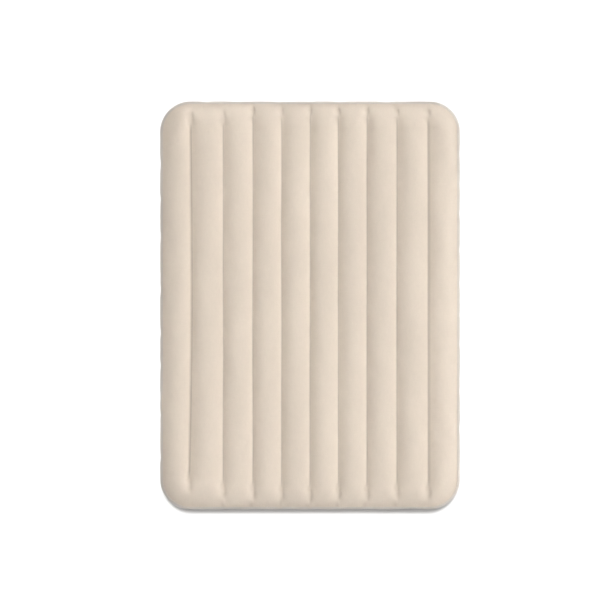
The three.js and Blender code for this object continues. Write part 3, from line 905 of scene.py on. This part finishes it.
def add_floor():
    corners = [(-FLOOR_REACH, -FLOOR_REACH, 0), (FLOOR_REACH, -FLOOR_REACH, 0),
               (FLOOR_REACH, FLOOR_REACH, 0), (-FLOOR_REACH, FLOOR_REACH, 0)]
    floor = new_object("floor", corners, [(0, 1, 2, 3)], smooth=False)
    floor.location.z = LOW.z
    material = bpy.data.materials.new("floor_paper")
    material.use_nodes = True
    shader = material.node_tree.nodes["Principled BSDF"]
    shader.inputs["Base Color"].default_value = (0.90, 0.90, 0.90, 1)
    shader.inputs["Roughness"].default_value = 0.9
    shader.inputs["Specular IOR Level"].default_value = 0.1
    floor.data.materials.append(material)
    return floor


def add_world(strength):
    world = bpy.data.worlds.new("studio")
    bpy.context.scene.world = world
    world.use_nodes = True
    background = world.node_tree.nodes["Background"]
    background.inputs["Color"].default_value = (1, 1, 1, 1)
    background.inputs["Strength"].default_value = strength
    backdrop = world.node_tree.nodes.new("ShaderNodeBackground")
    backdrop.inputs["Color"].default_value = (1, 1, 1, 1)
    paths = world.node_tree.nodes.new("ShaderNodeLightPath")
    mix = world.node_tree.nodes.new("ShaderNodeMixShader")
    links = world.node_tree.links
    links.new(paths.outputs["Is Camera Ray"], mix.inputs["Fac"])
    links.new(background.outputs["Background"], mix.inputs[1])
    links.new(backdrop.outputs["Background"], mix.inputs[2])
    links.new(mix.outputs["Shader"], world.node_tree.nodes["World Output"].inputs["Surface"])


# ---------------------------------------------------------------- materials


class Nodes:
    """Short names for building one material's node tree."""

    def __init__(self, name, base, roughness):
        self.material = bpy.data.materials.new(name)
        self.material.use_nodes = True
        self.tree = self.material.node_tree
        self.shader = self.tree.nodes["Principled BSDF"]
        self.shader.inputs["Base Color"].default_value = (*base, 1)
        self.shader.inputs["Roughness"].default_value = roughness
        self.position = self.tree.nodes.new("ShaderNodeTexCoord").outputs["Object"]

    def add(self, kind, **settings):
        node = self.tree.nodes.new(kind)
        for key, value in settings.items():
            setattr(node, key, value)
        return node

    def link(self, source, target):
        self.tree.links.new(source, target)

    def scaled(self, scale):
        mapping = self.add("ShaderNodeMapping")
        mapping.inputs["Scale"].default_value = scale
        self.link(self.position, mapping.inputs["Vector"])
        return mapping.outputs["Vector"]

    def noise(self, scale, detail=2.0, roughness=0.5, stretch=(1, 1, 1)):
        texture = self.add("ShaderNodeTexNoise")
        texture.inputs["Scale"].default_value = scale
        texture.inputs["Detail"].default_value = detail
        texture.inputs["Roughness"].default_value = roughness
        self.link(self.scaled(stretch), texture.inputs["Vector"])
        return texture.outputs["Fac"]

    def ramp(self, value, stops):
        ramp = self.add("ShaderNodeValToRGB")
        elements = ramp.color_ramp.elements
        while len(elements) < len(stops):
            elements.new(0.5)
        for element, (place, colour) in zip(elements, stops):
            element.position = place
            element.color = (*colour, 1)
        self.link(value, ramp.inputs["Fac"])
        return ramp.outputs["Color"]

    def span(self, value, low, high, to_low, to_high):
        node = self.add("ShaderNodeMapRange")
        ends = {"From Min": low, "From Max": high, "To Min": to_low, "To Max": to_high}
        for key, number in ends.items():
            node.inputs[key].default_value = number
        self.link(value, node.inputs["Value"])
        return node.outputs["Result"]

    def math(self, operation, a, b):
        node = self.add("ShaderNodeMath", operation=operation)
        for socket, value in zip(node.inputs, (a, b)):
            if isinstance(value, (int, float)):
                socket.default_value = value
            else:
                self.link(value, socket)
        return node.outputs["Value"]

    def multiply_colour(self, first, second):
        node = self.add("ShaderNodeMix", data_type="RGBA", blend_type="MULTIPLY")
        node.inputs["Factor"].default_value = 1
        self.link(first, node.inputs["A"])
        self.link(second, node.inputs["B"])
        return node.outputs["Result"]

    def bump(self, height, distance, strength=1.0, under=None):
        node = self.add("ShaderNodeBump")
        node.inputs["Distance"].default_value = distance
        node.inputs["Strength"].default_value = strength
        self.link(height, node.inputs["Height"])
        if under:
            self.link(under, node.inputs["Normal"])
        return node.outputs["Normal"]

    def finish(self, colour=None, roughness=None, normal=None, **constants):
        for name, source in (("Base Color", colour), ("Roughness", roughness), ("Normal", normal)):
            if source is not None:
                self.link(source, self.shader.inputs[name])
        for name, value in constants.items():
            self.shader.inputs[name.replace("_", " ")].default_value = value
        return self.material


def tints(base, spread):
    """Stops for a ramp from a little darker to a little lighter than a colour."""
    dark = tuple(c * (1 - spread) for c in base)
    light = tuple(c * (1 + spread) for c in base)
    return [(0.3, dark), (0.7, light)]


def flock_material():
    """Velvety flock: short pile with nap marks, faint speckle and a soft sheen."""
    base = (0.700, 0.607, 0.506)
    n = Nodes("beige_flock", base, 0.95)
    nap = n.noise(2.2, 3, 0.55, stretch=(1.6, 0.8, 1))
    blotches = n.noise(14, 3, 0.5, stretch=(1.4, 0.7, 1))
    pile = n.noise(1400, 2, 0.6)
    colour = n.ramp(nap, tints(base, 0.025))
    colour = n.multiply_colour(colour, n.ramp(blotches, tints((1, 1, 1), 0.012)))
    colour = n.multiply_colour(colour, n.ramp(pile, tints((1, 1, 1), 0.05)))
    brushed = n.noise(90, 4, 0.6, stretch=(1, 0.45, 1))
    colour = n.multiply_colour(colour, n.ramp(brushed, tints((1, 1, 1), 0.014)))
    # Painted shade: the flock is darkened along the weld creases, partly for pile crushed by the
    # weld
    painted_crease_shade = n.add("ShaderNodeAttribute", attribute_name="painted_crease_shade").outputs["Fac"]
    painted_shade_tint = n.ramp(painted_crease_shade, [(0.0, (1, 1, 1)), (1.0, (0.62, 0.59, 0.56))])
    colour = n.multiply_colour(colour, painted_shade_tint)
    roughness = n.span(blotches, 0.3, 0.7, 0.9, 1.0)
    soft = n.bump(n.noise(55, 3, 0.5), 1.0 * MM, 0.3)
    normal = n.bump(pile, 0.35 * MM, 0.6, under=soft)
    return n.finish(colour, roughness, normal, Specular_IOR_Level=0.15, Sheen_Weight=0.25,
                    Sheen_Roughness=0.5, Sheen_Tint=(1.0, 0.95, 0.88, 1))


def seam_gathers(n, low_seam, high_seam):
    """Height of the upright gathers that the welded seams draw into the wall beside them."""
    folds = n.noise(26, 2, 0.45, stretch=(1, 1, 0.10))
    fine = n.noise(70, 1, 0.4, stretch=(1, 1, 0.08))
    axes = n.add("ShaderNodeSeparateXYZ")
    n.link(n.position, axes.inputs["Vector"])
    reach = 42 * MM
    near_high = n.span(axes.outputs["Z"], high_seam - reach, high_seam, 0, 1)
    near_low = n.span(axes.outputs["Z"], low_seam, low_seam + reach * 0.8, 1, 0)
    near = n.math("MAXIMUM", near_high, near_low)
    near = n.math("MULTIPLY", near, near)
    both = n.math("ADD", folds, n.math("MULTIPLY", fine, 0.35))
    return n.math("MULTIPLY", both, near)


def vinyl_material(name, base, roughness=0.42, grain=0.5, gathers=None):
    """Calendered vinyl: fine pebbled grain, slow gloss changes and faint scuffs."""
    n = Nodes(name, base, roughness)
    slow = n.noise(3.5, 3, 0.5)
    scuffs = n.noise(40, 5, 0.65, stretch=(1, 1, 3))
    pebbles = n.add("ShaderNodeTexVoronoi")
    pebbles.inputs["Scale"].default_value = 620
    n.link(n.position, pebbles.inputs["Vector"])
    colour = n.ramp(slow, tints(base, 0.03))
    colour = n.multiply_colour(colour, n.ramp(scuffs, tints((1, 1, 1), 0.03)))
    rough = n.math("ADD", n.span(slow, 0.3, 0.7, roughness - 0.05, roughness + 0.05),
                   n.span(scuffs, 0.45, 0.75, 0, 0.12))
    waves = n.bump(n.noise(9, 2, 0.5), 2.5 * MM, 0.5)
    if gathers:
        waves = n.bump(seam_gathers(n, *gathers), 3.5 * MM, 0.75, under=waves)
    normal = n.bump(pebbles.outputs["Distance"], 0.25 * MM, grain, under=waves)
    return n.finish(colour, rough, normal, Specular_IOR_Level=0.5)


def moulded_material(name, base, roughness):
    """Injection-moulded plastic: satin, with faint flow marks, handling wear and fine texture."""
    n = Nodes(name, base, roughness)
    flow = n.noise(60, 3, 0.5, stretch=(1, 2.5, 1))
    wear = n.noise(260, 4, 0.7)
    colour = n.ramp(flow, tints(base, 0.03))
    colour = n.multiply_colour(colour, n.ramp(wear, tints((1, 1, 1), 0.03)))
    rough = n.span(wear, 0.35, 0.7, roughness - 0.05, roughness + 0.13)
    normal = n.bump(n.noise(2600, 2, 0.5), 0.05 * MM, 0.35)
    return n.finish(colour, rough, normal, Specular_IOR_Level=0.5)


def fibre_material():
    """The curtains' thousands of upright threads."""
    base = (0.84, 0.82, 0.76)
    n = Nodes("fibre_curtain", base, 0.8)
    threads = n.noise(900, 2, 0.5, stretch=(1, 1, 0.02))
    colour = n.ramp(threads, tints(base, 0.12))
    normal = n.bump(threads, 0.3 * MM, 0.8)
    return n.finish(colour, None, normal, Specular_IOR_Level=0.2)


FLOCK = flock_material()
WALL_VINYL = vinyl_material("wall_vinyl", (0.61, 0.55, 0.49), gathers=(LOWER_SEAM_Z, UPPER_SEAM_Z))
BAND_VINYL = vinyl_material("band_vinyl", (0.61, 0.55, 0.49), 0.38)
BASE_VINYL = vinyl_material("base_vinyl", (0.49, 0.43, 0.36), 0.5, 0.3)
STRIP_VINYL = vinyl_material("strip_vinyl", (0.70, 0.66, 0.60), 0.45)
FIBRE = fibre_material()
SEAT_PLASTIC = moulded_material("valve_seat_plastic", (0.52, 0.475, 0.42), 0.42)
PLUG_PLASTIC = moulded_material("valve_plug_plastic", (0.60, 0.555, 0.49), 0.36)
CAP_PLASTIC = moulded_material("valve_cap_plastic", (0.62, 0.575, 0.51), 0.34)
LEASH_PLASTIC = moulded_material("leash_plastic", (0.42, 0.385, 0.335), 0.5)
PIN_PLASTIC = moulded_material("pin_plastic", (0.68, 0.655, 0.61), 0.22)
SEAL_RUBBER = moulded_material("seal_rubber", (0.075, 0.072, 0.068), 0.75)


def paint(piece, material):
    piece.data.materials.clear()
    piece.data.materials.append(material)


# ---------------------------------------------------------------- pieces

top_sheet = make_top_sheet()
side_wall = make_side_wall()
bottom_sheet = make_bottom_sheet()
upper_seam = make_seam_band("upper_seam_band", UPPER_SEAM_Z, 1, 11 * MM, 1.2 * MM)
lower_seam = make_seam_band("lower_seam_band", LOWER_SEAM_Z, -1, 9 * MM, 1.0 * MM)

for piece, material, slot in (
    (top_sheet, FLOCK, "flock"), (side_wall, WALL_VINYL, "wall_vinyl"),
    (bottom_sheet, BASE_VINYL, "base_vinyl"), (upper_seam, BAND_VINYL, "wall_vinyl"),
    (lower_seam, BASE_VINYL, "base_vinyl"),
):
    paint(piece, material)
    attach(piece, "mattress")

moulded_valve()

for number in range(1, BEAM_COUNT + 1):
    paint(frame["nodes"][f"beam_curtain_{number}"], FIBRE)
    paint(frame["nodes"][f"upper_weld_strip_{number}"], STRIP_VINYL)
    paint(frame["nodes"][f"lower_weld_strip_{number}"], STRIP_VINYL)

# ---------------------------------------------------------------- studio

floor = add_floor()
add_world(0.30)
on_mattress = bpy.data.collections.new("lit_by_key")
on_floor = bpy.data.collections.new("lit_floor")
bpy.context.scene.collection.children.link(on_mattress)
bpy.context.scene.collection.children.link(on_floor)
for piece in bpy.data.objects:
    if piece.type == "MESH" and piece is not floor:
        on_mattress.objects.link(piece)
on_floor.objects.link(floor)
emission_sun("key", (1, 0.20, 0.92), 0.545 * math.pi, 38, on_mattress)
emission_sun("head_light", (0.02, 0.17, 1), 0.40 * math.pi, 11)
emission_sun("floor_light", (0, 0.23, 1), 0.55 * math.pi, 6, on_floor)
emission_sun("left_fill", (-1, -0.25, 0.17), 0.07 * math.pi, 20, on_mattress)
bpy.context.scene.view_settings.view_transform = "Standard"
